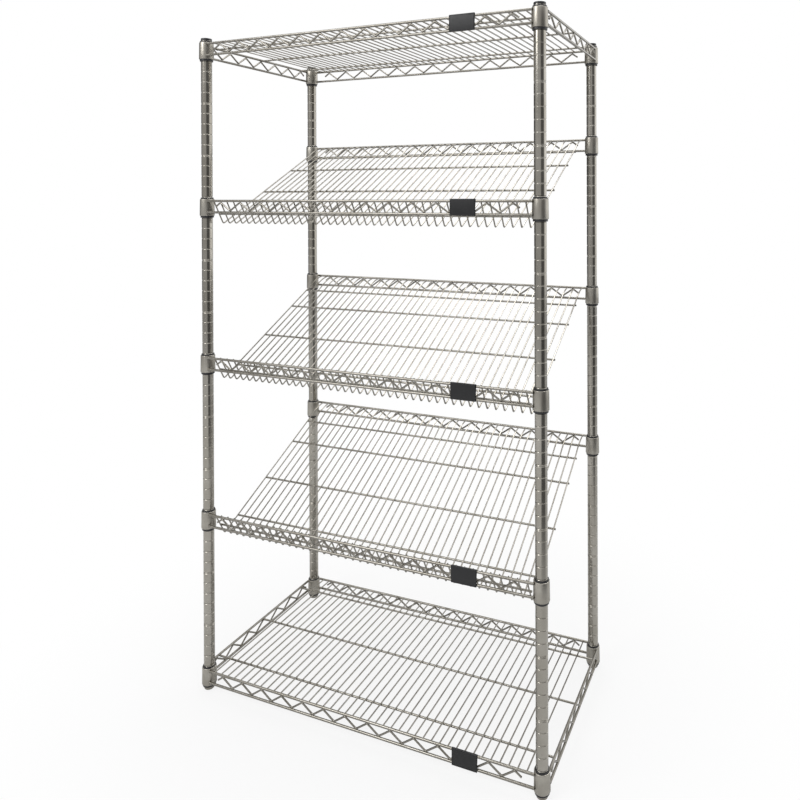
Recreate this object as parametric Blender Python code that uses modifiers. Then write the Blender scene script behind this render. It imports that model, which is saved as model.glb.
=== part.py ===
"""Slanted wire shelving unit.

Four notched posts carry, from the floor up, a flat shelf, three shelves that slant towards the
front and a flat top shelf. Each shelf hangs by its four collars on split tapered sleeves, which
snap round the notches of the posts, and it lifts off them straight up. Each post stands on a
levelling foot, whose stem screws into an insert in the post's lower end.

Lengths are in metres. +Z is up and -Y is the front. The origin is on the floor, under the middle.
"""

from math import cos, pi, radians, sin, tan

import bmesh
import bpy
from mathutils import Matrix, Vector

UNIT_NAME = "slanted_wire_shelving_unit"

# Clearances
TOUCH_GAP = 0.0003          # between pieces that touch
WELD_DEPTH = 0.0005         # how far two wires run into each other at a weld
CUT_OVERRUN = 0.003         # how far a cutter runs past what it cuts
MERGE_DISTANCE = 0.00001

# Facets
ROUND_SIDES = 8
RAIL_RESOLUTION = 1         # bevel resolution: four sides and two more for each step
THIN_WIRE_RESOLUTION = 0
SMOOTH_ANGLE = radians(50)

# Posts
POST_SPACING_X = 0.856      # between the axes of the posts
POST_SPACING_Y = 0.419
POST_DIAMETER = 0.0254
POST_WALL = 0.0014
POST_TOP_MARGIN = 0.0255    # from the top shelf's notch to the end of the tube

# Notches rolled round the posts, and the shelves seated on them
NOTCH_PITCH = 0.0254
NOTCH_WIDTH = 0.0032
NOTCH_DEPTH = 0.0007
FIRST_NOTCH_HEIGHT = 0.034
SHELF_STEP_NOTCHES = 15
SLANT_NOTCHES = 6           # how much higher the rear collars of a slanted shelf sit

# Collars and the tapered sleeves inside them
COLLAR_HEIGHT = 0.041
COLLAR_WALL = 0.0018
COLLAR_CHAMFER = 0.0012
SLEEVE_TOP_WALL = 0.0014
SLEEVE_BOTTOM_WALL = 0.0020
SLEEVE_PROUD = 0.0025       # how far a sleeve shows above and below its collar
SLEEVE_SPLIT = 0.0008       # slot where the two halves of a sleeve part

# Trusses along the edges of the shelves
RAIL_DIAMETER = 0.0058
RAIL_SPACING = 0.0275       # between the axes of a truss's two rails
RAIL_DROP = 0.0048          # from the top of a collar down to the upper rail's axis
RAIL_SINK = 0.0041          # from the outer face of a collar in to the axis of a rail
ZIGZAG_DIAMETER = 0.0042
ZIGZAG_PITCH = 0.0576       # from peak to peak
ZIGZAG_END_MARGIN = 0.035   # least distance from the last peak to the post's axis

# Decks
DECK_WIRE_DIAMETER = 0.0032
DECK_WIRE_PITCH = 0.0195
DECK_END_MARGIN = 0.028     # least distance from the last deck wire to the post's axis
CROSS_WIRE_DIAMETER = 0.0046
CROSS_WIRE_OVERRUN = 0.002  # how far it runs past the last deck wires of a slanted deck
FLAT_CROSS_SHARES = (0.14, 0.5, 0.86)
FULL_WELD = 1               # cross wire that is welded to every deck wire, counted from the front

# Slanted decks: the wires turn up in front into a stop lip, which leans against the front truss
LIP_ANGLE = radians(29)     # lean of the lip away from upright
LIP_LENGTH = 0.0662         # from the front rail down to the bend
LIP_TIP = 0.0005            # how far the lip's tips stand above the front rail
KNEE_SETBACK = 0.0663       # from the upper rear rail forward to where the deck wires start to curve
CREST_SETBACK = 0.033       # from that rail forward to the point half-way round the curve
CREST_DROP = 0.0075         # from that rail's axis down to the same point
SLOPE_CROSS_SHARES = (0.14, 0.45, 0.78, 0.98)
LIP_CROSS_SHARE = 0.62

# Label plates, hung on the upper rails of the front trusses
LABEL_WIDTH = 0.0575
LABEL_THICKNESS = 0.0016
LABEL_HOOK = 0.0032         # how far its hook reaches back over the rail
LABEL_PEAK = 11             # peak of the zigzag that the plate covers, counted from the left
LABEL_SHIFT = 0.005         # from that peak to the middle of the plate, to the right

# Caps in the upper ends of the posts
CAP_HEAD_HEIGHT = 0.006
CAP_CHAMFER = 0.0012
CAP_PLUG_LENGTH = 0.012

# Inserts in the lower ends of the posts, and the levelling feet that screw into them
INSERT_LENGTH = 0.024
INSERT_FLANGE = 0.0015
FOOT_HEIGHT = 0.009
FOOT_DIAMETER = 0.0248
FOOT_SOLE_DIAMETER = 0.016
FOOT_ROUNDING_HEIGHT = 0.004
STEM_DIAMETER = 0.0095
STEM_LENGTH = 0.032

# Finishes: colour, roughness and metallic value
CHROME_POST = ((0.46, 0.44, 0.41), 0.28, 1.0)
CHROME_WIRE = ((0.52, 0.49, 0.45), 0.25, 1.0)
ZINC_FOOT = ((0.48, 0.46, 0.42), 0.35, 1.0)
BLACK_PLASTIC = ((0.018, 0.018, 0.020), 0.42, 0.0)
BLACK_LABEL = ((0.012, 0.012, 0.013), 0.30, 0.0)

# Places that follow from the sizes above
POST_RADIUS = POST_DIAMETER / 2
BORE_RADIUS = POST_RADIUS - POST_WALL
RAIL_RADIUS = RAIL_DIAMETER / 2
RAIL_FLAT = RAIL_RADIUS * cos(pi / (4 + 2 * RAIL_RESOLUTION))   # from its axis to its flat top
ZIGZAG_RADIUS = ZIGZAG_DIAMETER / 2
DECK_RADIUS = DECK_WIRE_DIAMETER / 2
CROSS_RADIUS = CROSS_WIRE_DIAMETER / 2
STEM_RADIUS = STEM_DIAMETER / 2

INSERT_BASE = FOOT_HEIGHT + TOUCH_GAP
POST_BASE = INSERT_BASE + INSERT_FLANGE + TOUCH_GAP
SLEEVE_BORE = POST_RADIUS + TOUCH_GAP
SLEEVE_HEIGHT = COLLAR_HEIGHT + 2 * SLEEVE_PROUD

CORNERS = {
    "front_left": (-1, -1),
    "front_right": (1, -1),
    "rear_left": (-1, 1),
    "rear_right": (1, 1),
}

# Shelves from the floor up: name, steps above the lowest notch, rise of the rear in notches
SHELVES = (
    ("bottom_shelf", 0, 0),
    ("lower_slanted_shelf", 1, SLANT_NOTCHES),
    ("middle_slanted_shelf", 2, SLANT_NOTCHES),
    ("upper_slanted_shelf", 3, SLANT_NOTCHES),
    ("top_shelf", 4, 0),
)


def notch_height(notch):
    return FIRST_NOTCH_HEIGHT + notch * NOTCH_PITCH


TOP_NOTCH = SHELVES[-1][1] * SHELF_STEP_NOTCHES
POST_TOP = notch_height(TOP_NOTCH) + POST_TOP_MARGIN


def post_place(corner):
    side, end = CORNERS[corner]
    return side * POST_SPACING_X / 2, end * POST_SPACING_Y / 2


def sleeve_radius(height):
    """Outer radius of a sleeve at a height above the middle of its collar: it narrows upwards."""
    share = 0.5 + height / SLEEVE_HEIGHT
    return SLEEVE_BORE + SLEEVE_BOTTOM_WALL + share * (SLEEVE_TOP_WALL - SLEEVE_BOTTOM_WALL)


def collar_radius(height):
    """Outer radius of a collar, which is parallel to the sleeve inside it."""
    return sleeve_radius(height) + TOUCH_GAP + COLLAR_WALL


UPPER_RAIL_HEIGHT = COLLAR_HEIGHT / 2 - RAIL_DROP
LOWER_RAIL_HEIGHT = UPPER_RAIL_HEIGHT - RAIL_SPACING
RAIL_OFFSET = collar_radius(UPPER_RAIL_HEIGHT) - RAIL_SINK
TRUSS_X = POST_SPACING_X / 2 + RAIL_OFFSET
TRUSS_Y = POST_SPACING_Y / 2 + RAIL_OFFSET


def facet_reach(radius):
    """Distance along a rail from a post's axis to where its inner side meets a turned facet."""
    return radius - (RAIL_OFFSET - RAIL_RADIUS) * tan(pi / ROUND_SIDES)


# The rails in front and behind end inside the collars' walls, and those at the sides touch them
LONG_RAIL_END = facet_reach(collar_radius(LOWER_RAIL_HEIGHT) - COLLAR_WALL) + WELD_DEPTH
SIDE_RAIL_END = facet_reach(collar_radius(-COLLAR_HEIGHT / 2)) + TOUCH_GAP / cos(pi / ROUND_SIDES)


def clear_scene():
    for old in list(bpy.data.objects):
        bpy.data.objects.remove(old, do_unlink=True)


def new_collection(name):
    collection = bpy.data.collections.new(name)
    bpy.context.scene.collection.children.link(collection)
    return collection


def new_object(name, data, collection, parent=None):
    made = bpy.data.objects.new(name, data)
    collection.objects.link(made)
    made.parent = parent
    return made


def give_finish(target, finish):
    """Gives an object a Principled BSDF material of its own."""
    colour, roughness, metallic = finish
    material = bpy.data.materials.new(target.name + "_finish")
    material.use_nodes = True
    shader = material.node_tree.nodes["Principled BSDF"]
    shader.inputs["Base Color"].default_value = (*colour, 1.0)
    shader.inputs["Roughness"].default_value = roughness
    shader.inputs["Metallic"].default_value = metallic
    material.diffuse_color = (*colour, 1.0)
    target.data.materials.clear()
    target.data.materials.append(material)


def make_piece(name, mesh, place, finish, collection, parent=None):
    """One sub-part of the unit, with its own copy of a mesh."""
    own = mesh.copy()
    own.name = name
    own.shade_smooth()
    own.set_sharp_from_angle(angle=SMOOTH_ANGLE)
    piece = new_object(name, own, collection, parent)
    piece.location = place
    give_finish(piece, finish)
    return piece


def baked_mesh(source):
    """Mesh of an object with its modifiers applied. The object itself is removed."""
    bpy.context.view_layer.update()
    evaluated = source.evaluated_get(bpy.context.evaluated_depsgraph_get())
    mesh = bpy.data.meshes.new_from_object(evaluated)
    bpy.data.objects.remove(source, do_unlink=True)
    return mesh


def turned_mesh(profile, closed, workshop):
    """Turns a profile of (radius, height) points about Z. It runs down its outer side."""
    mesh = bpy.data.meshes.new("profile")
    last = len(profile) - 1
    edges = [(i, i + 1) for i in range(last)]
    if closed:
        edges.append((last, 0))
    mesh.from_pydata([(radius, 0, height) for radius, height in profile], edges, [])
    lathe = new_object("lathe", mesh, workshop)
    screw = lathe.modifiers.new("turn", "SCREW")
    screw.steps = ROUND_SIDES
    screw.render_steps = ROUND_SIDES
    screw.use_merge_vertices = True
    screw.merge_threshold = MERGE_DISTANCE
    screw.use_smooth_shade = False
    return baked_mesh(lathe)


def wire_mesh(runs, diameter, resolution, workshop):
    """Closed round wires, one along each run of points."""
    curve = bpy.data.curves.new("wire", "CURVE")
    curve.dimensions = "3D"
    curve.bevel_depth = diameter / 2
    curve.bevel_resolution = resolution
    curve.use_fill_caps = True
    for run in runs:
        spline = curve.splines.new("POLY")
        spline.points.add(len(run) - 1)
        for point, place in zip(spline.points, run):
            point.co = (*place, 1)
    mesh = baked_mesh(new_object("wire", curve, workshop))
    bpy.data.curves.remove(curve)
    capped = bmesh.new()
    capped.from_mesh(mesh)
    bmesh.ops.remove_doubles(capped, verts=capped.verts, dist=MERGE_DISTANCE)
    capped.to_mesh(mesh)
    capped.free()
    return mesh


def combined(base, tool, operation, workshop):
    """Mesh of a base that a tool is joined to or cut from."""
    body = new_object("body", base, workshop)
    cutter = new_object("cutter", tool, workshop)
    cutter.hide_render = True
    cutter.display_type = "WIRE"
    step = body.modifiers.new("combine", "BOOLEAN")
    step.operation = operation
    step.solver = "EXACT"
    step.object = cutter
    mesh = baked_mesh(body)
    bpy.data.objects.remove(cutter, do_unlink=True)
    return mesh


def copies(mesh, places):
    """One mesh that holds a copy of another at each place."""
    group = bmesh.new()
    for place in places:
        moved = mesh.copy()
        moved.transform(Matrix.Translation(place))
        group.from_mesh(moved)
        bpy.data.meshes.remove(moved)
    joined = bpy.data.meshes.new("copies")
    group.to_mesh(joined)
    group.free()
    return joined


def spread(span, pitch):
    """Places at a fixed pitch, as many as fit in a span, about zero."""
    gaps = int(span / pitch)
    return [(i - gaps / 2) * pitch for i in range(gaps + 1)]


def make_posts(collection, workshop):
    """Steel tubes. Of the notches round them, those that hold a sleeve are cut here."""
    for corner, (_, end) in CORNERS.items():
        profile = [(POST_RADIUS, POST_TOP)]
        for _, step, rise in reversed(SHELVES):
            middle = notch_height(step * SHELF_STEP_NOTCHES + (rise if end > 0 else 0))
            profile += [
                (POST_RADIUS, middle + NOTCH_WIDTH / 2),
                (POST_RADIUS - NOTCH_DEPTH, middle),
                (POST_RADIUS, middle - NOTCH_WIDTH / 2),
            ]
        profile += [(POST_RADIUS, POST_BASE), (BORE_RADIUS, POST_BASE), (BORE_RADIUS, POST_TOP)]
        tube = turned_mesh(profile, True, workshop)
        make_piece("post_" + corner, tube, (*post_place(corner), 0), CHROME_POST, collection)


def make_caps(collection, workshop):
    """Plastic caps: a chamfered head over the tube's end and a plug inside it."""
    base = TOUCH_GAP
    head_top = base + CAP_HEAD_HEIGHT
    plug_radius = BORE_RADIUS - TOUCH_GAP
    profile = [
        (0, head_top),
        (POST_RADIUS - CAP_CHAMFER, head_top),
        (POST_RADIUS, head_top - CAP_CHAMFER),
        (POST_RADIUS, base),
        (plug_radius, base),
        (plug_radius, -CAP_PLUG_LENGTH),
        (0, -CAP_PLUG_LENGTH),
    ]
    cap = turned_mesh(profile, False, workshop)
    for corner in CORNERS:
        place = (*post_place(corner), POST_TOP)
        make_piece("post_cap_" + corner, cap, place, BLACK_PLASTIC, collection)


def make_inserts(collection, workshop):
    """Bushes pressed into the lower ends of the posts, bored for the stems of the feet."""
    outer = BORE_RADIUS - TOUCH_GAP
    inner = STEM_RADIUS + TOUCH_GAP
    profile = [
        (outer, INSERT_LENGTH),
        (outer, INSERT_FLANGE),
        (POST_RADIUS, INSERT_FLANGE),
        (POST_RADIUS, 0),
        (inner, 0),
        (inner, INSERT_LENGTH),
    ]
    insert = turned_mesh(profile, True, workshop)
    for corner in CORNERS:
        place = (*post_place(corner), INSERT_BASE)
        make_piece("foot_insert_" + corner, insert, place, BLACK_PLASTIC, collection)


def make_feet(collection, workshop):
    """Levelling feet: a pad rounded towards its flat sole, and the stem that screws up and down."""
    profile = [
        (0, FOOT_HEIGHT + STEM_LENGTH),
        (STEM_RADIUS, FOOT_HEIGHT + STEM_LENGTH),
        (STEM_RADIUS, FOOT_HEIGHT),
        (FOOT_DIAMETER / 2, FOOT_HEIGHT),
        (FOOT_DIAMETER / 2, FOOT_ROUNDING_HEIGHT),
        (FOOT_SOLE_DIAMETER / 2, 0),
        (0, 0),
    ]
    foot = turned_mesh(profile, False, workshop)
    for corner in CORNERS:
        place = (*post_place(corner), 0)
        make_piece("levelling_foot_" + corner, foot, place, ZINC_FOOT, collection)


def sleeve_mesh(workshop):
    """A sleeve: a tapered ring with a ridge for the notch, slit where its two halves part."""
    half = SLEEVE_HEIGHT / 2
    profile = [
        (sleeve_radius(half), half),
        (sleeve_radius(-half), -half),
        (SLEEVE_BORE, -half),
        (SLEEVE_BORE, -NOTCH_WIDTH / 2),
        (SLEEVE_BORE - NOTCH_DEPTH, 0),
        (SLEEVE_BORE, NOTCH_WIDTH / 2),
        (SLEEVE_BORE, half),
    ]
    ring = turned_mesh(profile, True, workshop)
    slit = bmesh.new()
    reach = sleeve_radius(-half) + CUT_OVERRUN
    size = Matrix.Diagonal((reach, SLEEVE_SPLIT, SLEEVE_HEIGHT + 2 * CUT_OVERRUN, 1))
    beside_axis = Matrix.Translation((reach / 2, 0, 0))
    bmesh.ops.create_cube(slit, size=1, matrix=beside_axis @ size)
    cutter = bpy.data.meshes.new("slit")
    slit.to_mesh(cutter)
    slit.free()
    return combined(ring, cutter, "DIFFERENCE", workshop)


def make_sleeves(name, step, rise, sleeve, collection):
    """The four sleeves under one shelf. The halves of each are clipped together as one."""
    for corner, (_, end) in CORNERS.items():
        notch = step * SHELF_STEP_NOTCHES + (rise if end > 0 else 0)
        place = (*post_place(corner), notch_height(notch))
        make_piece(name + "_sleeve_" + corner, sleeve, place, BLACK_PLASTIC, collection)


def collar_mesh(workshop):
    """A tapered steel socket, chamfered round its lower edge."""
    half = COLLAR_HEIGHT / 2
    profile = [
        (collar_radius(half), half),
        (collar_radius(-half), -half + COLLAR_CHAMFER),
        (collar_radius(-half) - COLLAR_CHAMFER, -half),
        (collar_radius(-half) - COLLAR_WALL, -half),
        (collar_radius(half) - COLLAR_WALL, half),
    ]
    return turned_mesh(profile, True, workshop)


def zigzag_run(span):
    """Distances and heights of a zigzag's corners between two rails, with half-length tails.

    Its first and last corners above and below run into the rails, and the others touch them.
    """
    reach = RAIL_FLAT + ZIGZAG_RADIUS
    middle = (UPPER_RAIL_HEIGHT + LOWER_RAIL_HEIGHT) / 2
    peaks = spread(span - 2 * ZIGZAG_END_MARGIN, ZIGZAG_PITCH)
    last = len(peaks) - 1
    run = [(peaks[0] - ZIGZAG_PITCH / 4, middle)]
    for i, place in enumerate(peaks):
        inset = -WELD_DEPTH if i in (0, last) else TOUCH_GAP
        run.append((place, UPPER_RAIL_HEIGHT - reach - inset))
        if i < last:
            inset = -WELD_DEPTH if i in (0, last - 1) else TOUCH_GAP
            run.append((place + ZIGZAG_PITCH / 2, LOWER_RAIL_HEIGHT + reach + inset))
    run.append((peaks[-1] + ZIGZAG_PITCH / 4, middle))
    return run


def braced_rails(span, rail_end, locate, workshop):
    """Two rails and the zigzag between them. locate turns a distance and a height into a place."""
    reach = span / 2 - rail_end
    heights = (UPPER_RAIL_HEIGHT, LOWER_RAIL_HEIGHT)
    runs = [[locate(-reach, height), locate(reach, height)] for height in heights]
    rails = wire_mesh(runs, RAIL_DIAMETER, RAIL_RESOLUTION, workshop)
    run = [locate(place, height) for place, height in zigzag_run(span)]
    zigzag = wire_mesh([run], ZIGZAG_DIAMETER, THIN_WIRE_RESOLUTION, workshop)
    return combined(zigzag, rails, "UNION", workshop)


def make_long_trusses(name, rise, collar, collection, workshop, carrier):
    """The front and rear trusses, each with the two collars that its rails are welded to."""
    for label, end in (("_front_truss", -1), ("_rear_truss", 1)):
        lift = rise * NOTCH_PITCH if end > 0 else 0
        locate = lambda x, z: (x, end * TRUSS_Y, z + lift)
        truss = braced_rails(POST_SPACING_X, LONG_RAIL_END, locate, workshop)
        places = [(*post_place(corner), lift) for corner, (_, side) in CORNERS.items() if side == end]
        whole = combined(truss, copies(collar, places), "UNION", workshop)
        make_piece(name + label, whole, (0, 0, 0), CHROME_WIRE, collection, carrier)


def make_side_trusses(name, collection, workshop, carrier):
    """The trusses along the left and right edges of a flat shelf."""
    for label, side in (("_left_truss", -1), ("_right_truss", 1)):
        locate = lambda y, z: (side * TRUSS_X, y, z)
        truss = braced_rails(POST_SPACING_Y, SIDE_RAIL_END, locate, workshop)
        make_piece(name + label, truss, (0, 0, 0), CHROME_WIRE, collection, carrier)


def deck_columns():
    return spread(POST_SPACING_X - 2 * DECK_END_MARGIN, DECK_WIRE_PITCH)


def make_flat_deck(name, collection, workshop, carrier):
    """Deck wires from front to rear, level with the tops of the rails, and wires across under them.

    The outermost deck wires are sunk into all cross wires, and one cross wire into all deck wires.
    """
    end = TRUSS_Y - RAIL_RADIUS - TOUCH_GAP
    height = UPPER_RAIL_HEIGHT + RAIL_RADIUS - DECK_RADIUS
    weld = TOUCH_GAP + WELD_DEPTH
    columns = deck_columns()
    outer = (columns[0], columns[-1])
    heights = [height - weld if x in outer else height for x in columns]
    runs = [[(x, -end, z), (x, end, z)] for x, z in zip(columns, heights)]
    wires = wire_mesh(runs, DECK_WIRE_DIAMETER, THIN_WIRE_RESOLUTION, workshop)

    edge = TRUSS_X - RAIL_RADIUS - TOUCH_GAP
    under = height - DECK_RADIUS - CROSS_RADIUS - TOUCH_GAP
    runs = []
    for i, share in enumerate(FLAT_CROSS_SHARES):
        y = end * (2 * share - 1)
        z = under + weld if i == FULL_WELD else under
        runs.append([(-edge, y, z), (edge, y, z)])
    across = wire_mesh(runs, CROSS_WIRE_DIAMETER, THIN_WIRE_RESOLUTION, workshop)
    deck = combined(wires, across, "UNION", workshop)
    make_piece(name + "_deck", deck, (0, 0, 0), CHROME_WIRE, collection, carrier)


def slanted_profile(rise):
    """Side view (y, z) of a slanted deck wire: lip tip, bend, knee, crest and rear end."""
    down_lip = Vector((sin(LIP_ANGLE), -cos(LIP_ANGLE)))
    off_rail = Vector((cos(LIP_ANGLE), sin(LIP_ANGLE)))
    touch = RAIL_RADIUS + DECK_RADIUS + TOUCH_GAP
    lip_foot = Vector((-TRUSS_Y, UPPER_RAIL_HEIGHT)) + touch * off_rail
    tip = lip_foot - LIP_TIP * down_lip
    bend = lip_foot + LIP_LENGTH * down_lip
    lift = rise * NOTCH_PITCH
    end = Vector((TRUSS_Y - RAIL_RADIUS - TOUCH_GAP, UPPER_RAIL_HEIGHT + lift))
    crest = end - Vector((CREST_SETBACK, CREST_DROP))
    knee = Vector((end.x - KNEE_SETBACK, LOWER_RAIL_HEIGHT + lift))
    return tip, bend, knee, crest, end


def outer_side(start, end):
    """Unit vector (y, z) square to a stretch of deck wire, on the side of its cross wires."""
    along = (end - start).normalized()
    return Vector((along.y, -along.x))


def cross_reach(direction, fullness):
    """Distance from a deck wire's axis to that of a cross wire that it touches on one side.

    Fullness is the share of its thickness that the deck wire has there.
    """
    cross_side = CROSS_RADIUS * max(abs(direction.x), abs(direction.y))
    return DECK_RADIUS * fullness + cross_side + TOUCH_GAP


def make_slanted_deck(name, rise, collection, workshop, carrier):
    """Deck wires that run down from the rear truss and turn up into the lip, with wires across.

    The outermost deck wires are sunk into all cross wires, and one cross wire into all deck wires.
    The cross wires run under the slope and behind the lip.
    """
    tip, bend, knee, crest, end = slanted_profile(rise)
    under_slope = outer_side(bend, knee)
    behind_lip = outer_side(bend, tip)
    weld = TOUCH_GAP + WELD_DEPTH
    sinking = Vector((weld, weld / LIP_CROSS_SHARE))
    sunk_bend = bend + Matrix((under_slope, behind_lip)).inverted() @ sinking
    sunk_knee = knee + weld * under_slope
    columns = deck_columns()
    outer = (columns[0], columns[-1])
    inner_run = (tip, bend, knee, crest, end)
    outer_run = (tip, sunk_bend, sunk_knee, crest, end)
    runs = [[(x, *point) for point in (outer_run if x in outer else inner_run)] for x in columns]
    wires = wire_mesh(runs, DECK_WIRE_DIAMETER, THIN_WIRE_RESOLUTION, workshop)

    slim = 1 - cos((bend - tip).angle(knee - bend) / 2)     # how much thinner a wire is at its bend
    places = []
    for share in SLOPE_CROSS_SHARES:
        reach = cross_reach(under_slope, 1 - slim * (1 - share))
        places.append(bend.lerp(knee, share) + reach * under_slope)
    places[FULL_WELD] -= weld * under_slope
    reach = cross_reach(behind_lip, 1 - slim * LIP_CROSS_SHARE)
    places.append(tip.lerp(bend, LIP_CROSS_SHARE) + reach * behind_lip)
    edge = columns[-1] + DECK_RADIUS + CROSS_WIRE_OVERRUN
    runs = [[(-edge, *place), (edge, *place)] for place in places]
    across = wire_mesh(runs, CROSS_WIRE_DIAMETER, THIN_WIRE_RESOLUTION, workshop)
    deck = combined(wires, across, "UNION", workshop)
    make_piece(name + "_deck", deck, (0, 0, 0), CHROME_WIRE, collection, carrier)


def make_label(name, collection, carrier):
    """A blank plate in front of the front truss, hooked over its upper rail."""
    back = -TRUSS_Y - RAIL_RADIUS - TOUCH_GAP
    front = back - LABEL_THICKNESS
    hook = back + LABEL_HOOK
    top = UPPER_RAIL_HEIGHT + RAIL_RADIUS + TOUCH_GAP
    bottom = LOWER_RAIL_HEIGHT - RAIL_RADIUS
    outline = [
        (front, bottom),
        (back, bottom),
        (back, top),
        (hook, top),
        (hook, top + LABEL_THICKNESS),
        (front, top + LABEL_THICKNESS),
    ]
    curve = bpy.data.curves.new(name + "_label_plate", "CURVE")
    curve.dimensions = "2D"
    curve.fill_mode = "BOTH"
    curve.extrude = LABEL_WIDTH / 2
    spline = curve.splines.new("POLY")
    spline.points.add(len(outline) - 1)
    for point, place in zip(spline.points, outline):
        point.co = (*place, 0, 1)
    spline.use_cyclic_u = True
    plate = new_object(name + "_label_plate", curve, collection, carrier)
    peaks = spread(POST_SPACING_X - 2 * ZIGZAG_END_MARGIN, ZIGZAG_PITCH)
    plate.location.x = peaks[LABEL_PEAK] + LABEL_SHIFT
    plate.rotation_euler = (radians(90), 0, radians(90))
    give_finish(plate, BLACK_LABEL)


def make_shelf(name, step, rise, collar, collection, workshop):
    """A shelf, whose pieces hang on an empty on the axis that it lifts along."""
    carrier = new_object(name + "_lift", None, collection)
    carrier.location.z = notch_height(step * SHELF_STEP_NOTCHES)
    make_long_trusses(name, rise, collar, collection, workshop, carrier)
    if rise:
        make_slanted_deck(name, rise, collection, workshop, carrier)
    else:
        make_side_trusses(name, collection, workshop, carrier)
        make_flat_deck(name, collection, workshop, carrier)
    make_label(name, collection, carrier)


def main():
    clear_scene()
    collection = new_collection(UNIT_NAME)
    workshop = new_collection(UNIT_NAME + "_cutters")
    make_posts(collection, workshop)
    make_caps(collection, workshop)
    make_inserts(collection, workshop)
    make_feet(collection, workshop)
    sleeve = sleeve_mesh(workshop)
    collar = collar_mesh(workshop)
    for name, step, rise in SHELVES:
        make_sleeves(name, step, rise, sleeve, collection)
        make_shelf(name, step, rise, collar, collection, workshop)
    bpy.data.collections.remove(workshop)


main()
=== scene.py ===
import math

import bpy
import numpy as np
from mathutils import Matrix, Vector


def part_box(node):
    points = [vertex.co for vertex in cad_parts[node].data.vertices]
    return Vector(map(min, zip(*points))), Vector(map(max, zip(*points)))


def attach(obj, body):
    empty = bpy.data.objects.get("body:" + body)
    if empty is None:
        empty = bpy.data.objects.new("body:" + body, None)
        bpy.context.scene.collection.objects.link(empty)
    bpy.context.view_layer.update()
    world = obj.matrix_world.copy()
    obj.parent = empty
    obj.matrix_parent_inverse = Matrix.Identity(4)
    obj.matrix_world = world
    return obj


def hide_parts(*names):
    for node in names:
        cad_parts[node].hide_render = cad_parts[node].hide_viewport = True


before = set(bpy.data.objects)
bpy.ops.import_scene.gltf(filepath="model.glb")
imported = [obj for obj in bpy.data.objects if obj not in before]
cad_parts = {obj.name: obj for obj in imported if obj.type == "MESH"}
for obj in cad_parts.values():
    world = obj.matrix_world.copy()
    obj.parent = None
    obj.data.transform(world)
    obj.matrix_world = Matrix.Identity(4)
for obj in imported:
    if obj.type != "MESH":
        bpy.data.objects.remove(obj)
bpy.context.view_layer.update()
print("frame:", len(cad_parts), "nodes")

corners = ("front_left", "front_right", "rear_left", "rear_right")
flatShelves = ("bottom_shelf", "top_shelf")
slantedShelves = ("lower_slanted_shelf", "middle_slanted_shelf", "upper_slanted_shelf")
allShelves = flatShelves + slantedShelves
sharpAngle = math.radians(35)


def middleOf(node):
    low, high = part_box(node)
    return (low + high) / 2


postAt = {corner: middleOf("post_" + corner) for corner in corners}
halfWidth = postAt["front_right"].x
halfDepth = postAt["rear_right"].y


# Gathers grids of points, with their faces, into one mesh
class Shape:
    def __init__(self):
        self.points = []
        self.faces = []
        self.count = 0

    # Rows of points joined by quads. Columns close on themselves. Rows close too where loop is set,
    # and otherwise the first and last row each get one flat face.
    def grid(self, points, loop=False):
        rows, columns = points.shape[:2]
        index = self.count + np.arange(rows * columns).reshape(rows, columns)
        ahead = np.roll(index, -1, axis=1)
        if loop:
            quads = np.stack([index, ahead, np.roll(ahead, -1, axis=0), np.roll(index, -1, axis=0)], -1)
        else:
            quads = np.stack([index[:-1], ahead[:-1], ahead[1:], index[1:]], -1)
            self.faces += [index[0, ::-1].tolist(), index[-1].tolist()]
        self.faces += quads.reshape(-1, 4).tolist()
        self.points.append(points.reshape(-1, 3))
        self.count += rows * columns

    def copies(self, points, places, loop=False):
        for place in places:
            self.grid(points + np.asarray(place), loop)

    def build(self, name):
        mesh = bpy.data.meshes.new(name)
        mesh.from_pydata(np.concatenate(self.points), [], self.faces)
        mesh.shade_smooth()
        mesh.set_sharp_from_angle(angle=sharpAngle)
        piece = bpy.data.objects.new(name, mesh)
        bpy.context.scene.collection.objects.link(piece)
        return piece


def makePiece(name, shape, material, body, nodes=()):
    piece = shape.build(name)
    piece.data.materials.append(material)
    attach(piece, body)
    if nodes:
        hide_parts(*nodes)
    return piece


# A profile of (radius, height) carried round Z: x is radius times cosine, y is radius times sine
def turned(profile, sides):
    angle = np.arange(sides) * 2 * math.pi / sides
    radius, height = np.asarray(profile, float).T[:, :, None]
    return np.stack([radius * np.cos(angle), radius * np.sin(angle), height + 0 * angle], -1)


# A circle carried along a path that lies in one plane: each ring stands square to the path there,
# spanned by the plane's normal and by the path's direction times that normal. Ends are chamfered.
def wire(path, normal, radius, sides, chamfer=0.0, loop=False):
    path = np.asarray(path, float)
    if loop:
        along = np.roll(path, -1, axis=0) - np.roll(path, 1, axis=0)
    else:
        along = np.gradient(path, axis=0)
    along /= np.linalg.norm(along, axis=1, keepdims=True)
    widths = np.full(len(path), radius)
    if chamfer:
        inner = path[[0, -1]] + along[[0, -1]] * [[chamfer], [-chamfer]]
        path = np.concatenate([path[:1], inner[:1], path[1:-1], inner[1:], path[-1:]])
        along = np.concatenate([along[:1], along, along[-1:]])
        widths = np.concatenate([[radius - chamfer], np.full(len(path) - 2, radius), [radius - chamfer]])
    normal = np.asarray(normal, float)
    side = np.cross(normal, along)
    angle = np.arange(sides)[:, None] * 2 * math.pi / sides
    ring = np.cos(angle) * side[:, None] + np.sin(angle) * -normal
    return path[:, None] + widths[:, None, None] * ring


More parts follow.
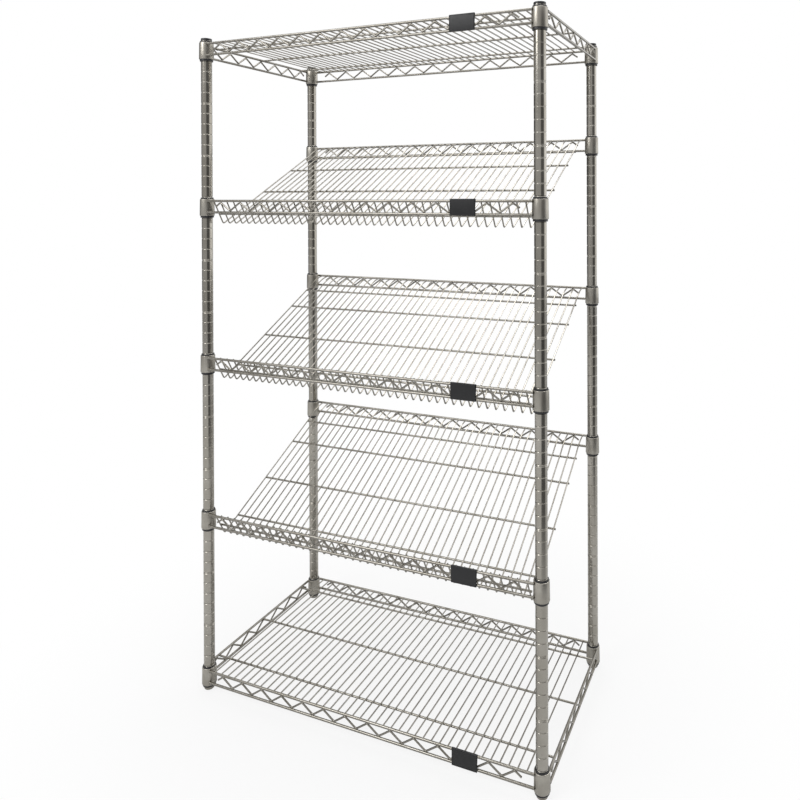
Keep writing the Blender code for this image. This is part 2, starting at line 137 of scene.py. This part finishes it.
# Straight stretches joined by bends: each bend is a quadratic curve from a point before the corner
# to one as far behind it, with the corner as its control point. The lead may differ by corner.
def bent(cornerPoints, leads, steps):
    points = np.asarray(cornerPoints, float)
    ways = np.diff(points, axis=0)
    ways /= np.linalg.norm(ways, axis=1, keepdims=True)
    corner = points[1:-1, None]
    lead = np.broadcast_to(leads, len(corner))[:, None, None]
    start = corner - lead * ways[:-1, None]
    end = corner + lead * ways[1:, None]
    s = np.linspace(0, 1, steps)[None, :, None]
    curve = (1 - s) ** 2 * start + 2 * s * (1 - s) * corner + s ** 2 * end
    return np.concatenate([points[:1], curve.reshape(-1, points.shape[1]), points[-1:]])


# A bead round a point: rings at even latitudes, the radius times the cosine out from the axis and
# the height times the sine along it
def bead(radius, height, sides, rings):
    lift = np.linspace(-1, 1, rings + 2)[1:-1] * math.pi / 2
    return turned(np.stack([radius * np.cos(lift), height * np.sin(lift)], -1), sides)


# Wraps a shader socket, so that sums of sockets and numbers add their Math nodes
class Wire:
    def __init__(self, graph, socket):
        self.graph = graph
        self.socket = socket

    def maths(self, operation, first, second):
        return self.graph.node("ShaderNodeMath", {"operation": operation}, {0: first, 1: second})

    def __add__(self, other):
        return self.maths("ADD", self, other)

    def __radd__(self, other):
        return self.maths("ADD", other, self)

    def __sub__(self, other):
        return self.maths("SUBTRACT", self, other)

    def __rsub__(self, other):
        return self.maths("SUBTRACT", other, self)

    def __mul__(self, other):
        return self.maths("MULTIPLY", self, other)

    def __rmul__(self, other):
        return self.maths("MULTIPLY", other, self)


class Graph:
    def __init__(self, owner):
        owner.use_nodes = True
        self.tree = owner.node_tree
        self.tree.nodes.clear()

    # Adds a node: its settings first, then the values or links of its sockets
    def node(self, kind, settings=None, inputs=None, output=0):
        made = self.tree.nodes.new(kind)
        for key, value in (settings or {}).items():
            setattr(made, key, value)
        for key, value in (inputs or {}).items():
            if isinstance(value, Wire):
                self.tree.links.new(value.socket, made.inputs[key])
            else:
                made.inputs[key].default_value = value
        return Wire(self, made.outputs[output]) if made.outputs else made


def grey(level):
    return (level, level, level, 1.0)


# Clouds in three directions, drawn out along each axis where its stretch is small
def noise(graph, place, scale, detail=2.0, roughness=0.5, stretch=(1, 1, 1)):
    mapped = graph.node("ShaderNodeMapping", None, {"Vector": place, "Scale": stretch})
    return graph.node("ShaderNodeTexNoise", None,
                      {"Vector": mapped, "Scale": scale, "Detail": detail, "Roughness": roughness})


# A smooth step: least below one value, most above the other
def band(graph, value, low, high, least=0.0, most=1.0):
    inputs = {0: value, 1: low, 2: high, 3: least, 4: most}
    return graph.node("ShaderNodeMapRange", {"interpolation_type": "SMOOTHSTEP"}, inputs)


def mixed(graph, factor, first, second):
    return graph.node("ShaderNodeMix", {"data_type": "RGBA"}, {0: factor, 6: first, 7: second}, 2)


def finish(graph, inputs):
    shader = graph.node("ShaderNodeBsdfPrincipled", None, inputs)
    graph.node("ShaderNodeOutputMaterial", None, {0: shader})


def objectPlace(graph):
    return graph.node("ShaderNodeTexCoord", None, None, "Object")


# Bright plating: clouds of slightly warmer tone, drawing lines along the metal, dull specks.
# A band is the part of the noise over which a pattern fades in.
def platedMetal(name, look):
    material = bpy.data.materials.new(name)
    graph = Graph(material)
    place = objectPlace(graph)
    clouds = band(graph, noise(graph, place, look["cloudScale"], look["cloudDetail"]), *look["cloudBand"])
    lines = noise(graph, place, look["lineScale"], look["lineDetail"], look["lineRough"], look["lineStretch"])
    specks = band(graph, noise(graph, place, look["speckScale"], look["speckDetail"]), *look["speckBand"])
    tone = mixed(graph, clouds, (*look["colour"], 1.0), (*look["warmColour"], 1.0))
    tone = mixed(graph, specks * look["speckShare"], tone, (*look["speckColour"], 1.0))
    rough = look["roughness"] + look["roughSpread"] * lines + look["speckRough"] * specks
    grain = graph.node("ShaderNodeBump", None,
                       {"Strength": look["bump"], "Distance": look["bumpDepth"], "Height": lines})
    finish(graph, {"Base Color": tone, "Metallic": 1.0, "Roughness": rough, "Normal": grain})
    return material


# Moulded plastic: fine pitting, a few paler scuffs where pieces rub
def mouldedPlastic(name, look):
    material = bpy.data.materials.new(name)
    graph = Graph(material)
    place = objectPlace(graph)
    pits = noise(graph, place, look["pitScale"], look["pitDetail"])
    scuffs = noise(graph, place, look["scuffScale"], look["scuffDetail"], look["scuffRough"])
    scuffs = band(graph, scuffs, *look["scuffBand"])
    tone = mixed(graph, scuffs * look["scuffShare"], (*look["colour"], 1.0), (*look["scuffColour"], 1.0))
    rough = look["roughness"] + look["roughSpread"] * scuffs
    grain = graph.node("ShaderNodeBump", None,
                       {"Strength": look["bump"], "Distance": look["bumpDepth"], "Height": pits})
    finish(graph, {"Base Color": tone, "Metallic": 0.0, "Roughness": rough, "Normal": grain})
    return material


postLook = {
    "colour": (0.41, 0.39, 0.35), "warmColour": (0.34, 0.32, 0.28), "speckColour": (0.20, 0.18, 0.16),
    "cloudScale": 9.0, "cloudDetail": 3.0, "cloudBand": (0.35, 0.65),
    "lineScale": 900.0, "lineDetail": 2.0, "lineRough": 0.6, "lineStretch": (1, 1, 0.03),
    "speckScale": 300.0, "speckDetail": 1.0, "speckBand": (0.66, 0.74), "speckShare": 0.25,
    "speckRough": 0.05, "roughness": 0.12, "roughSpread": 0.08, "bump": 0.02, "bumpDepth": 0.0002,
}
collarLook = {**postLook, "colour": (0.43, 0.41, 0.365), "warmColour": (0.36, 0.34, 0.30),
              "lineStretch": (0.2, 0.2, 1), "roughness": 0.33, "cloudScale": 30.0}
wireLook = {**postLook, "colour": (0.30, 0.285, 0.255), "warmColour": (0.24, 0.225, 0.195),
            "lineScale": 300.0, "lineStretch": (1, 1, 1), "roughness": 0.16, "cloudScale": 20.0}
footLook = {**postLook, "colour": (0.36, 0.34, 0.30), "roughness": 0.24, "cloudScale": 60.0}
plasticLook = {
    "colour": (0.016, 0.016, 0.018), "scuffColour": (0.06, 0.06, 0.06),
    "pitScale": 1500.0, "pitDetail": 2.0, "scuffScale": 130.0, "scuffDetail": 3.0, "scuffRough": 0.6,
    "scuffBand": (0.58, 0.70), "scuffShare": 0.6, "roughness": 0.38, "roughSpread": 0.2,
    "bump": 0.15, "bumpDepth": 0.0002,
}
plateLook = {**plasticLook, "colour": (0.006, 0.006, 0.007), "roughness": 0.42, "scuffShare": 0.12,
             "pitScale": 900.0, "bump": 0.08}

postMetal = platedMetal("platedPost", postLook)
collarMetal = platedMetal("platedCollar", collarLook)
wireMetal = platedMetal("platedWire", wireLook)
footMetal = platedMetal("platedFoot", footLook)
blackPlastic = mouldedPlastic("blackPlastic", plasticLook)
blackPlate = mouldedPlastic("blackPlate", plateLook)
print("materials made")

notch = {"pitch": 0.0254, "width": 0.0026, "depth": 0.0007, "steps": 7,
         "doubleEvery": 5, "doubleGap": 0.0030}     # each fifth notch has a second one just below it
post = {"wall": 0.0014, "sides": 64, "edge": 0.0003}


# Outline of a notched tube: up its outer side, with a rounded dip at each notch, and down its bore.
# The depth of a dip is the notch's depth times one minus the square of the share of its half width.
def postProfile(bottom, top, radius, firstNotch):
    count = int((top - firstNotch) / notch["pitch"]) + 1
    heights = firstNotch + notch["pitch"] * np.arange(count)
    heights = np.concatenate([heights, heights[::notch["doubleEvery"]] - notch["doubleGap"]])
    heights = np.sort(heights[heights < top - notch["width"]])
    share = np.linspace(-1, 1, notch["steps"])
    dips = np.stack(np.broadcast_arrays(radius - notch["depth"] * (1 - share ** 2),
                                        heights[:, None] + share * notch["width"] / 2), -1)
    bore = radius - post["wall"]
    edge = post["edge"]
    lower = [(bore, bottom), (radius - edge, bottom), (radius, bottom + edge)]
    upper = [(radius, top - edge), (radius - edge, top), (bore, top)]
    return np.concatenate([lower, dips.reshape(-1, 2), upper])


for corner in corners:
    node = "post_" + corner
    low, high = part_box(node)
    firstNotch = middleOf("bottom_shelf_sleeve_" + corner).z
    shape = Shape()
    profile = postProfile(low.z, high.z, (high.x - low.x) / 2, firstNotch)
    centre = (postAt[corner].x, postAt[corner].y, 0)
    shape.copies(turned(profile, post["sides"]), [centre], loop=True)
    makePiece(node + "_tube", shape, postMetal, "root", [node])
print("posts made")

# The crown's points: shares of the radius, and of the dome's height down from its top
cap = {"sides": 48, "plugShare": 0.84, "hollowShare": 0.3, "edge": 0.0011, "edgeSteps": 5,
       "dome": 0.0012, "crown": ((0.55, 0.35), (0.2, 0.0)), "gap": 0.0003}


# Outline of a cap: up the plug, out under the head, up its side and in over a rounded edge
def capProfile(bottom, seat, top, radius):
    bend = np.linspace(0, math.pi / 2, cap["edgeSteps"])
    edge = cap["edge"]
    shoulder = top - cap["dome"] - edge
    rounded = np.stack([radius - edge + edge * np.cos(bend), shoulder + edge * np.sin(bend)], -1)
    plug = radius * cap["plugShare"]
    lower = [(plug * cap["hollowShare"], bottom), (plug, bottom), (plug, seat), (radius, seat)]
    crown = [(radius * out, top - cap["dome"] * down) for out, down in cap["crown"]]
    return np.concatenate([lower, rounded, crown])


for corner in corners:
    node = "post_cap_" + corner
    low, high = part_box(node)
    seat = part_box("post_" + corner)[1].z + cap["gap"]
    shape = Shape()
    profile = capProfile(low.z, seat, high.z, (high.x - low.x) / 2)
    shape.copies(turned(profile, cap["sides"]), [(postAt[corner].x, postAt[corner].y, 0)])
    makePiece(node + "_moulding", shape, blackPlastic, "root", [node])

foot = {"sides": 48, "stemRadius": 0.00475, "padHeight": 0.009, "soleShare": 0.65,
        "hollowShare": 0.4, "swellShare": 0.55, "swellSteps": 9, "edge": 0.0008}


# Outline of a levelling foot: flat sole, a quarter ellipse up to the pad's side, then the stem
def footProfile(bottom, top, radius):
    bend = np.linspace(0, math.pi / 2, foot["swellSteps"])
    sole = radius * foot["soleShare"]
    swell = foot["padHeight"] * foot["swellShare"]
    curve = np.stack([sole + (radius - sole) * np.sin(bend), bottom + swell * (1 - np.cos(bend))], -1)
    pad = bottom + foot["padHeight"]
    rim = [(radius, pad - foot["edge"]), (radius - foot["edge"], pad), (foot["stemRadius"], pad)]
    stem = [(foot["stemRadius"], top - foot["edge"]), (foot["stemRadius"] - foot["edge"], top)]
    return np.concatenate([[(sole * foot["hollowShare"], bottom)], curve, rim, stem])


for corner in corners:
    node = "levelling_foot_" + corner
    low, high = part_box(node)
    shape = Shape()
    profile = footProfile(low.z, high.z, (high.x - low.x) / 2)
    shape.copies(turned(profile, foot["sides"]), [(postAt[corner].x, postAt[corner].y, 0)])
    makePiece(node + "_turning", shape, footMetal, "foot_" + corner, [node])

    node = "foot_insert_" + corner
    low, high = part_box(node)
    radius = (high.x - low.x) / 2
    body = radius - post["wall"] - cap["gap"]
    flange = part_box("post_" + corner)[0].z - cap["gap"]
    bore = foot["stemRadius"] + cap["gap"]
    profile = [(bore, low.z), (radius, low.z), (radius, flange),
               (body, flange), (body, high.z), (bore, high.z)]
    shape = Shape()
    shape.copies(turned(profile, foot["sides"]), [(postAt[corner].x, postAt[corner].y, 0)], loop=True)
    makePiece(node + "_bush", shape, blackPlastic, "root", [node])
print("caps and feet made")

sleeve = {"topRadius": 0.0147, "bottomRadius": 0.0153, "bore": 0.0130, "slit": 0.0006,
          "slitAngle": math.pi / 4, "edge": 0.0004, "steps": 28, "moreAbove": 0.0008, "moreBelow": 0.0021}


# Half a tapered ring: the wall's outline carried round an arc that stops short at both slits
def sleeveHalf(bottom, top, start):
    edge = sleeve["edge"]
    outline = np.array([(bottom, sleeve["bore"]), (bottom, sleeve["bottomRadius"] - edge),
                        (bottom + edge, sleeve["bottomRadius"]), (top - edge, sleeve["topRadius"]),
                        (top, sleeve["topRadius"] - edge), (top, sleeve["bore"])])
    gap = sleeve["slit"] / 2 / sleeve["bore"]
    angle = np.linspace(start + gap, start + math.pi - gap, sleeve["steps"])[:, None]
    lift, radius = outline.T
    return np.stack([radius * np.cos(angle), radius * np.sin(angle), lift + 0 * angle], -1)


for shelf in allShelves:
    for corner in corners:
        node = f"{shelf}_sleeve_{corner}"
        low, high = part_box(node)
        place = (postAt[corner].x, postAt[corner].y, 0)
        bottom, top = low.z - sleeve["moreBelow"], high.z + sleeve["moreAbove"]
        shape = Shape()
        for start in (sleeve["slitAngle"], sleeve["slitAngle"] + math.pi):
            shape.copies(sleeveHalf(bottom, top, start), [place])
        makePiece(node + "_halves", shape, blackPlastic, "root", [node])
print("sleeves made")

collar = {"height": 0.041, "topRadius": 0.0165, "bottomRadius": 0.0171, "wall": 0.0016,
          "edge": 0.0013, "edgeSteps": 4, "sides": 56}
# A rail stops short of the post's axis by its setback, and its axis lies its sink inside a collar's face
rail = {"radius": 0.0029, "spacing": 0.0275, "drop": 0.0048, "sink": 0.0041,
        "setback": 0.0118, "sides": 16, "chamfer": 0.0004}
zigzag = {"radius": 0.0021, "pitch": 0.0576, "margin": 0.035, "roundShare": 0.985,
          "steps": 14, "sides": 12, "sink": 0.0002}
weld = {"radius": 0.0027, "height": 0.0016, "sides": 10, "rings": 5}


# Outline of a collar: up its tapered outer side between two rounded edges, and down its bore
def collarProfile():
    half = collar["height"] / 2
    wide, narrow = collar["bottomRadius"], collar["topRadius"]
    edge = collar["edge"]
    bend = np.linspace(-math.pi / 2, 0, collar["edgeSteps"])
    lower = np.stack([wide - edge + edge * np.cos(bend), -half + edge + edge * np.sin(bend)], -1)
    bend = bend + math.pi / 2
    upper = np.stack([narrow - edge + edge * np.cos(bend), half - edge + edge * np.sin(bend)], -1)
    bore = [(narrow - collar["wall"], half), (wide - collar["wall"], -half)]
    return np.concatenate([lower, upper, bore])


# A triangle wave with rounded peaks: the arc sine of a share of a cosine, scaled to the full height
def zigzagWave(distance, phase):
    share = zigzag["roundShare"]
    wave = np.cos(2 * math.pi * (distance - phase) / zigzag["pitch"])
    return np.arcsin(share * wave) / math.asin(share)


railHigh = collar["height"] / 2 - rail["drop"]
railLow = railHigh - rail["spacing"]
railOffset = collar["topRadius"] - rail["sink"]     # from the posts' axes out to the rails
railX = halfWidth + railOffset
railY = halfDepth + railOffset


# Distances along a truss and heights between its rails, from tail to tail of its zigzag
def zigzagPath(span):
    room = span - 2 * zigzag["margin"]
    peaks = int(room / zigzag["pitch"])
    first = -peaks * zigzag["pitch"] / 2
    tail = zigzag["pitch"] / 4
    distance = np.linspace(first - tail, -first + tail, (2 * peaks + 1) * zigzag["steps"] + 1)
    reach = (railHigh - railLow) / 2 - rail["radius"] - zigzag["radius"] + zigzag["sink"]
    height = (railHigh + railLow) / 2 + reach * zigzagWave(distance, first)
    return distance, height


# Places points of (distance, height) along X or along Y, at a fixed place across
def placed(distance, height, across, alongX):
    distance, height, across = np.broadcast_arrays(distance, height, across)
    return np.stack([distance, across, height] if alongX else [across, distance, height], -1)


# Two straight rails, one above the other, and the zigzag between them
def addTruss(rails, braces, span, across, level, alongX):
    normal = (0, 1, 0) if alongX else (1, 0, 0)
    reach = span / 2 - rail["setback"]
    for height in (railHigh, railLow):
        ends = placed(np.array([-reach, reach]), level + height, across, alongX)
        rails.grid(wire(ends, normal, rail["radius"], rail["sides"], rail["chamfer"]))
    distance, height = zigzagPath(span)
    path = placed(distance, level + height, across, alongX)
    braces.grid(wire(path, normal, zigzag["radius"], zigzag["sides"], rail["chamfer"]))


deck = {"radius": 0.0016, "pitch": 0.0195, "margin": 0.028, "sides": 10, "chamfer": 0.0003,
        "restShare": 0.4, "crossRestShare": 0.6, "beadShare": 0.5}      # shares of a wire's radius
cross = {"radius": 0.0023, "sides": 14, "chamfer": 0.0004, "sink": 0.0003, "overrun": 0.002}
flatDeck = {"crossShares": (0.13, 0.5, 0.87)}
# The lip leans down behind the front rails, and the setbacks run forward from the rear end of a wire.
# The shares place the cross wires: up the slope from its bend, and down the lip from its tip.
slant = {
    "lipAngle": math.radians(29), "lipLength": 0.0662, "lipTip": 0.0005, "kneeSetback": 0.0663,
    "crestSetback": 0.032, "crestDrop": 0.0055, "slopeShares": (0.14, 0.45, 0.78, 0.98),
    "lipShare": 0.62, "restShare": 0.8, "leads": (0.0055, 0.010, 0.024), "steps": 7,
}


# Places of the deck wires along X: a pitch apart, as many as the margins leave room for, centred
def deckColumns():
    gaps = int((2 * halfWidth - 2 * deck["margin"]) / deck["pitch"])
    return (np.arange(gaps + 1) - gaps / 2) * deck["pitch"]


# Points (x, y, z) at each deck column of a place (y, z) in the shelf's side view
def atColumns(place):
    columns = deckColumns()
    return np.stack([columns, np.full(len(columns), place[0]), np.full(len(columns), place[1])], -1)


# A weld bead at each place
def addBeads(shape, places):
    shape.copies(bead(weld["radius"], weld["height"], weld["sides"], weld["rings"]), places)


# Straight wires from front to rear rails, cross wires under them, and a bead at each crossing
def makeFlatDeck(shelf, level):
    reach = railY - rail["radius"] * deck["restShare"]
    height = level + railHigh + rail["radius"] - deck["radius"]
    wires, across, beads = Shape(), Shape(), Shape()
    ends = [(0, -reach, height), (0, reach, height)]
    run = wire(ends, (1, 0, 0), deck["radius"], deck["sides"], deck["chamfer"])
    wires.copies(run, [(x, 0, 0) for x in deckColumns()])
    edge = railX - rail["radius"] * deck["crossRestShare"]
    under = height - deck["radius"] - cross["radius"] + cross["sink"]
    for share in flatDeck["crossShares"]:
        y = reach * (2 * share - 1)
        ends = [(-edge, y, under), (edge, y, under)]
        across.grid(wire(ends, (0, 1, 0), cross["radius"], cross["sides"]))
        addBeads(beads, atColumns((y, height - deck["radius"])))
    for y in (-reach, reach):
        addBeads(beads, atColumns((y, height - deck["radius"] * deck["beadShare"])))
    makePiece(shelf + "_deck_wires", wires, wireMetal, shelf, [shelf + "_deck"])
    makePiece(shelf + "_cross_wires", across, wireMetal, shelf)
    makePiece(shelf + "_deck_welds", beads, wireMetal, shelf)


# Side view (y, z) of a slanted deck wire: lip tip, bend, knee, crest and rear end. The lip runs from
# its foot beside the upper front rail along the direction down, and off is square to it, to the rear.
def slantPoints(level, rise):
    down = np.array([math.sin(slant["lipAngle"]), -math.cos(slant["lipAngle"])])
    off = np.array([-down[1], down[0]])
    touch = rail["radius"] + deck["radius"] - cross["sink"]
    foot = np.array([-railY, level + railHigh]) + touch * off
    end = np.array([railY - rail["radius"] * slant["restShare"], level + rise + railHigh])
    crest = end - (slant["crestSetback"], slant["crestDrop"])
    knee = np.array([end[0] - slant["kneeSetback"], level + rise + railLow])
    return foot - slant["lipTip"] * down, foot + slant["lipLength"] * down, knee, crest, end


# Wires bent to the side view's shape, with cross wires and beads on their under and rear side
def makeSlantedDeck(shelf, level, rise):
    tip, bend, knee, crest, end = slantPoints(level, rise)
    wires, across, beads = Shape(), Shape(), Shape()
    side = bent([tip, bend, knee, crest, end], slant["leads"], slant["steps"])
    path = np.concatenate([np.zeros((len(side), 1)), side], axis=1)
    run = wire(path, (1, 0, 0), deck["radius"], deck["sides"], deck["chamfer"])
    wires.copies(run, [(x, 0, 0) for x in deckColumns()])
    stretches = [(bend, knee, share) for share in slant["slopeShares"]]
    stretches.append((bend, tip, 1 - slant["lipShare"]))
    edge = deckColumns()[-1] + deck["radius"] + cross["overrun"]
    for start, stop, share in stretches:    # the cross wires run under the slope and behind the lip
        way = (stop - start) / np.linalg.norm(stop - start)
        below = np.array([way[1], -way[0]])
        spot = start + share * (stop - start)
        y, z = spot + (deck["radius"] + cross["radius"] - cross["sink"]) * below
        ends = [(-edge, y, z), (edge, y, z)]
        across.grid(wire(ends, (0, 1, 0), cross["radius"], cross["sides"], cross["chamfer"]))
        addBeads(beads, atColumns(spot + deck["radius"] * below))
    addBeads(beads, atColumns(end))
    makePiece(shelf + "_deck_wires", wires, wireMetal, shelf, [shelf + "_deck"])
    makePiece(shelf + "_cross_wires", across, wireMetal, shelf)
    makePiece(shelf + "_deck_welds", beads, wireMetal, shelf)


for shelf in allShelves:
    level = middleOf(f"{shelf}_sleeve_front_left").z
    rise = middleOf(f"{shelf}_sleeve_rear_left").z - level
    rails, braces, sockets = Shape(), Shape(), Shape()
    addTruss(rails, braces, 2 * halfWidth, -railY, level, True)
    addTruss(rails, braces, 2 * halfWidth, railY, level + rise, True)
    replaced = [shelf + "_front_truss", shelf + "_rear_truss"]
    if shelf in flatShelves:
        for across in (-railX, railX):
            addTruss(rails, braces, 2 * halfDepth, across, level, False)
        replaced += [shelf + "_left_truss", shelf + "_right_truss"]
        makeFlatDeck(shelf, level)
    else:
        makeSlantedDeck(shelf, level, rise)
    places = [(postAt[c].x, postAt[c].y, level + (rise if "rear" in c else 0)) for c in corners]
    sockets.copies(turned(collarProfile(), collar["sides"]), places, loop=True)
    makePiece(shelf + "_collars", sockets, collarMetal, shelf)
    makePiece(shelf + "_rails", rails, wireMetal, shelf, replaced)
    makePiece(shelf + "_zigzags", braces, wireMetal, shelf)
print("shelves made")

plate = {"thickness": 0.0012, "edge": 0.0003, "edgeSteps": 4,
         "rim": 0.0004, "rimInset": 0.0012, "rimSides": 8, "corner": 0.0006, "cornerSteps": 5}


# A closed outline with each corner cut by a short bend of the same lead
def roundedOutline(points, lead, steps):
    closed = np.concatenate([points[-1:], points, points[:1]])
    return bent(closed, lead, steps)[1:-1]


# A hooked outline (y, z) carried along X. Its ends are drawn in by the edge, square to the outline.
def clipGrid(outline, left, right):
    along = np.roll(outline, -1, axis=0) - np.roll(outline, 1, axis=0)
    along /= np.linalg.norm(along, axis=1, keepdims=True)
    edge = plate["edge"]
    inward = np.stack([-along[:, 1], along[:, 0]], -1) * edge
    rows = []
    for x, drawn in ((left, 1), (left + edge, 0), (right - edge, 0), (right, 1)):
        rows.append(np.column_stack([np.full(len(outline), x), outline + drawn * inward]))
    return np.stack(rows)


for shelf in allShelves:
    node = shelf + "_label_plate"
    low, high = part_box(node)
    face = low.y + plate["rim"]
    skin = plate["thickness"]
    back = face + skin
    outline = np.array([(face, low.z), (back, low.z), (back, high.z - skin),
                        (high.y, high.z - skin), (high.y, high.z), (face, high.z)])
    shape = Shape()
    shape.grid(clipGrid(roundedOutline(outline, plate["edge"], plate["edgeSteps"]), low.x, high.x))
    inset = plate["rimInset"]
    frameCorners = np.array([(low.x + inset, face, low.z + inset), (high.x - inset, face, low.z + inset),
                             (high.x - inset, face, high.z - inset), (low.x + inset, face, high.z - inset)])
    path = roundedOutline(frameCorners, plate["corner"], plate["cornerSteps"])
    shape.grid(wire(path, (0, 1, 0), plate["rim"], plate["rimSides"], loop=True), loop=True)
    makePiece(shelf + "_label_clip", shape, blackPlate, shelf, [node])
print("label plates made")

stageLook = {
    "floorSize": 14.0, "floorColour": (0.86, 0.86, 0.85, 1.0), "floorPatch": 0.88, "patchScale": 3.0,
    "floorRough": 0.9, "clearFrom": 0.3, "clearTo": 1.1,
    # the painted shade on the far floor that only reflections see: its grey, and the distances over which it
    # fades in
    "floorClear": 0.82, "floorReflectedShade": 0.12, "darkFrom": 0.9, "darkTo": 1.8,
    "worldColour": (0.92, 0.93, 0.95), "worldStrength": 0.6,
    "wall": 0.60, "ceiling": 1.0, "ceilingFrom": 0.5, "ceilingTo": 0.8,
}
# Parts of the room that the metal reflects: each fades in where the cosine of the angle to its way
# goes from one value to the other
darkCorner = {"way": (0.866, -0.5, 0.0), "from": 0.81, "to": 0.93, "level": 0.16}
roomPatches = (
    {"way": (0.707, 0.707, 0.0), "from": 0.74, "to": 0.88, "level": 1.4},   # bright wall behind
    {"way": (0.0, 0.36, 0.933), "from": 0.965, "to": 0.995, "level": 8.0},  # lamp overhead
    {"way": (-0.94, 0.34, 0.0), "from": 0.81, "to": 0.93, "level": 0.10},   # dark corner on the left
    darkCorner,
)


# One for what the camera and reflections see, and nought for what lights the unit
def seenDirectly(graph):
    rays = [graph.node("ShaderNodeLightPath", None, None, name)
            for name in ("Is Camera Ray", "Is Glossy Ray", "Is Transmission Ray")]
    return graph.node("ShaderNodeClamp", None, {0: rays[0] + rays[1] + rays[2]})


# Share of a soft-edged patch of the room in a direction, from the cosine of the angle to its middle
def patchShare(graph, way, patch):
    inputs = {0: way, 1: patch["way"]}
    facing = graph.node("ShaderNodeVectorMath", {"operation": "DOT_PRODUCT"}, inputs, "Value")
    return band(graph, facing, patch["from"], patch["to"])


# Pale floor: it fades to the white of the background away from the unit and keeps its shadow near it.
# What the metal sees of it is painted darker towards the dark corner: a painted shade that only reflections
# show.
def makeFloor():
    half = stageLook["floorSize"] / 2
    mesh = bpy.data.meshes.new("floor")
    ring = [(-half, -half, 0), (half, -half, 0), (half, half, 0), (-half, half, 0)]
    mesh.from_pydata(ring, [], [(0, 1, 2, 3)])
    floor = bpy.data.objects.new("floor", mesh)
    bpy.context.scene.collection.objects.link(floor)
    material = bpy.data.materials.new("paleFloor")
    graph = Graph(material)
    distance = graph.node("ShaderNodeVectorMath", {"operation": "LENGTH"}, {0: objectPlace(graph)}, "Value")
    clear = band(graph, distance, stageLook["clearFrom"], stageLook["clearTo"], stageLook["floorClear"], 1.0)
    patches = noise(graph, objectPlace(graph), stageLook["patchScale"])
    tint = mixed(graph, patches, stageLook["floorColour"], grey(stageLook["floorPatch"]))
    way = graph.node("ShaderNodeVectorMath", {"operation": "NORMALIZE"}, {0: objectPlace(graph)})
    # Painted shade for reflections: far from the unit and towards the dark corner, glossy rays see the floor
    # greyed, which paints a dark streak into the metal
    far = band(graph, distance, stageLook["darkFrom"], stageLook["darkTo"])
    dark = patchShare(graph, way, darkCorner) * far
    glossy = graph.node("ShaderNodeLightPath", None, None, "Is Glossy Ray")
    tint = mixed(graph, glossy * dark, tint, grey(stageLook["floorReflectedShade"]))
    inputs = {"Base Color": tint, "Roughness": stageLook["floorRough"]}
    diffuse = graph.node("ShaderNodeBsdfPrincipled", None, inputs)
    white = graph.node("ShaderNodeEmission", None, {"Color": grey(1.0), "Strength": 1.0})
    camera = graph.node("ShaderNodeLightPath", None, None, "Is Camera Ray")
    blend = graph.node("ShaderNodeMixShader", None, {0: camera * clear, 1: diffuse, 2: white})
    graph.node("ShaderNodeOutputMaterial", None, {0: blend})
    mesh.materials.append(material)


# White for the camera. The metal sees grey walls, a brighter ceiling and the patches of the room.
def makeWorld():
    world = bpy.data.worlds.new("studio")
    bpy.context.scene.world = world
    graph = Graph(world)
    look = stageLook
    way = graph.node("ShaderNodeTexCoord", None, None, "Generated")
    height = graph.node("ShaderNodeSeparateXYZ", None, {0: way}, "Z")
    room = band(graph, height, look["ceilingFrom"], look["ceilingTo"], look["wall"], look["ceiling"])
    for patch in roomPatches:
        room = room + patchShare(graph, way, patch) * (patch["level"] - room)
    camera = graph.node("ShaderNodeLightPath", None, None, "Is Camera Ray")
    seen = seenDirectly(graph)
    backdrop = mixed(graph, camera, room, grey(1.0))
    colour = mixed(graph, seen, (*look["worldColour"], 1.0), backdrop)
    strength = look["worldStrength"] + seen * (1 - look["worldStrength"])
    background = graph.node("ShaderNodeBackground", None, {"Color": colour, "Strength": strength})
    graph.node("ShaderNodeOutputWorld", None, {0: background})


# Soft square lamps. The fill one is not seen in the metal.
lamps = {
    "key": {"place": (-1.6, -2.6, 2.9), "aim": (0, 0, 0.8), "size": 1.6, "power": 42},
    "fill": {"place": (2.4, -2.0, 1.9), "aim": (0, 0, 0.8), "size": 1.4, "power": 20, "glints": False},
    "top": {"place": (0.2, 0.6, 3.4), "aim": (0, 0, 0.8), "size": 1.8, "power": 26},
}


# Each lamp shines down its own -Z, which is tilted and then turned towards its aim
def makeLamps():
    for name, lamp in lamps.items():
        data = bpy.data.lights.new(name, "AREA")
        data.size = lamp["size"]
        data.energy = lamp["power"]
        made = bpy.data.objects.new(name, data)
        way = np.subtract(lamp["aim"], lamp["place"])
        tilt = math.acos(way[2] / np.linalg.norm(way)) - math.pi
        made.location = lamp["place"]
        made.rotation_euler = (tilt, 0, math.atan2(way[0], -way[1]))
        made.visible_glossy = lamp.get("glints", True)
        bpy.context.scene.collection.objects.link(made)


# Fitted to the posts and shelves in the photo. Focal length and centre are in its pixels.
view = {"place": (0.8669, -1.5462, 1.2058), "yaw": 0.3787, "pitch": 0.0037, "roll": -0.0034,
        "focal": 703.5, "centre": (497.05, 197.16), "image": 800, "sensor": 36.0}


def makeCamera():
    data = bpy.data.cameras.new("camera")
    data.sensor_width = view["sensor"]
    data.lens = view["focal"] / view["image"] * view["sensor"]
    half = view["image"] / 2
    data.shift_x = (half - view["centre"][0]) / view["image"]
    data.shift_y = (view["centre"][1] - half) / view["image"]
    camera = bpy.data.objects.new("camera", data)
    bpy.context.scene.collection.objects.link(camera)
    turn = Matrix.Rotation(view["yaw"], 4, "Z") @ Matrix.Rotation(math.pi / 2 - view["pitch"], 4, "X")
    camera.matrix_world = Matrix.Translation(view["place"]) @ turn @ Matrix.Rotation(view["roll"], 4, "Z")
    bpy.context.scene.camera = camera


makeFloor()
makeWorld()
makeLamps()
makeCamera()
bpy.context.scene.view_settings.view_transform = "Standard"
print("stage made")
